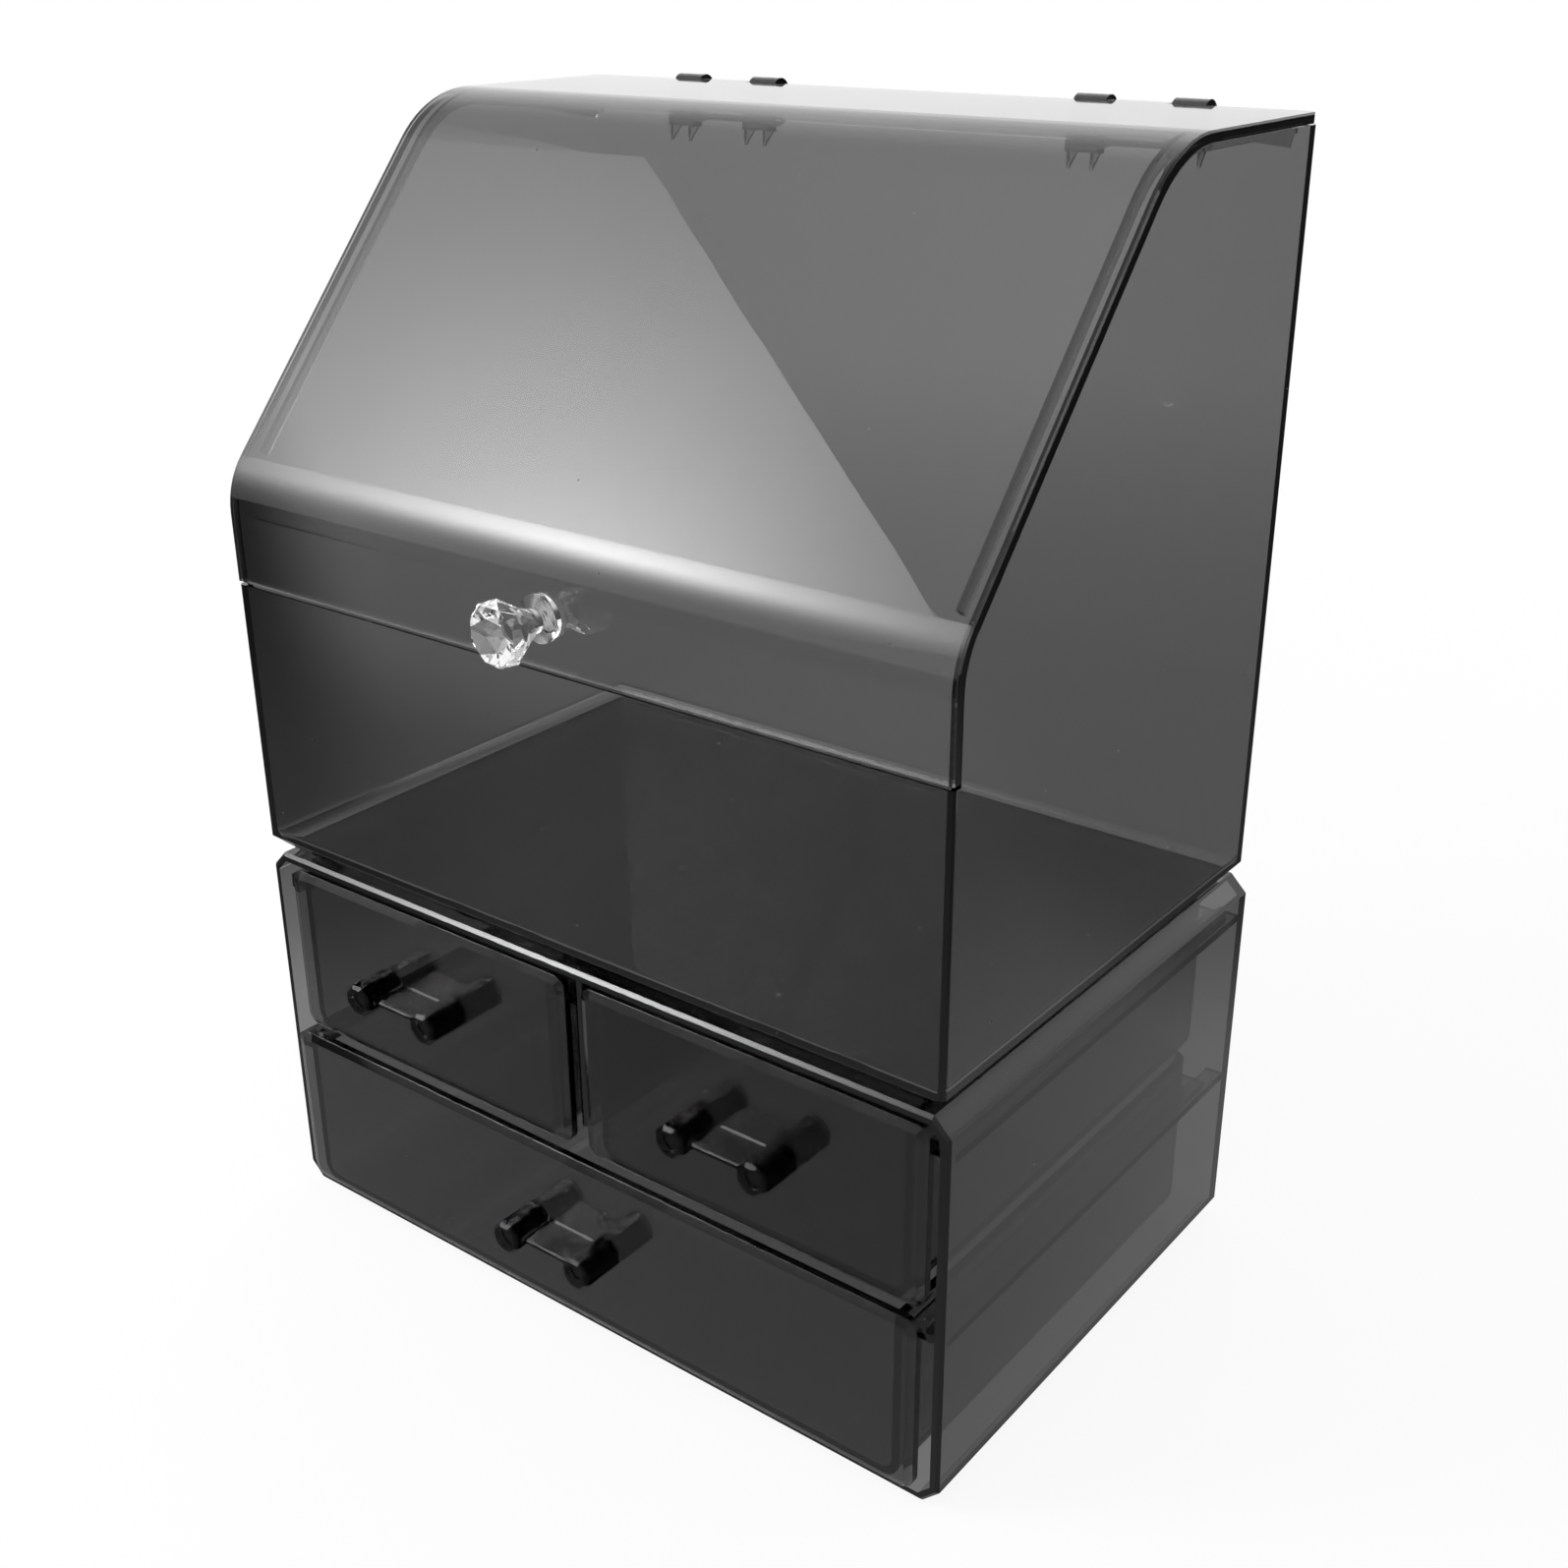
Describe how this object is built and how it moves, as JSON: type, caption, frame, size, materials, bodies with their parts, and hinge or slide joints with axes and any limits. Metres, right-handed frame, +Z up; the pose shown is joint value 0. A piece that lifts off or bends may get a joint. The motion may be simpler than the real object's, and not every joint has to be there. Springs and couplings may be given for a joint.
{
  "type": "makeup organizer",
  "caption": "Smoked see-through plastic makeup organizer: a low case with sliding drawers under a tall display box with a bent, hinged lid and a clear knob.",
  "frame": {"origin": "centre of the drawer case's underside, on the surface that it stands on", "axes": "+X to the right as seen from the front, +Y to the back, +Z up; the drawers open towards -Y"},
  "size_m": [0.24, 0.1815, 0.3253],
  "materials": {
    "case_plastic": "glossy, smoked",
    "tray_plastic": "glossy, smoked",
    "front_plastic": "glossy, smoked",
    "handle_plastic": "glossy, dark",
    "box_plastic": "glossy, smoked",
    "lid_plastic": "glossy, smoked",
    "knob_plastic": "glossy, clear",
    "steel": "bright"
  },
  "bodies": {
    "case": {"drawer_case": "case_plastic"},
    "left_drawer": {"left_drawer_tray": "tray_plastic", "left_drawer_front": "front_plastic", "left_drawer_handle": "handle_plastic"},
    "right_drawer": {"right_drawer_tray": "tray_plastic", "right_drawer_front": "front_plastic", "right_drawer_handle": "handle_plastic"},
    "bottom_drawer": {"bottom_drawer_tray": "tray_plastic", "bottom_drawer_front": "front_plastic", "bottom_drawer_handle": "handle_plastic"},
    "upper_box": {"display_box": "box_plastic", "left_hinge_pin": "steel", "right_hinge_pin": "steel"},
    "lid_body": {"lid": "lid_plastic", "lid_knob": "knob_plastic"}
  },
  "joints": [
    {"name": "left_drawer_slide", "type": "slide", "parent": "case", "child": "left_drawer", "axis": [0, -1, 0], "range_m": [0, 0.11]},
    {"name": "right_drawer_slide", "type": "slide", "parent": "case", "child": "right_drawer", "axis": [0, -1, 0], "range_m": [0, 0.11]},
    {"name": "bottom_drawer_slide", "type": "slide", "parent": "case", "child": "bottom_drawer", "axis": [0, -1, 0], "range_m": [-0.004, 0.11]},
    {"name": "display_box_lift", "type": "slide", "parent": "case", "child": "upper_box", "axis": [0, 0, 1], "range_m": [0, 0.1]},
    {"name": "lid_hinge", "type": "hinge", "parent": "upper_box", "child": "lid_body", "pos_m": [0, 0.0813, 0.32135], "axis": [-1, 0, 0], "range_deg": [0, 118]}
  ]
}
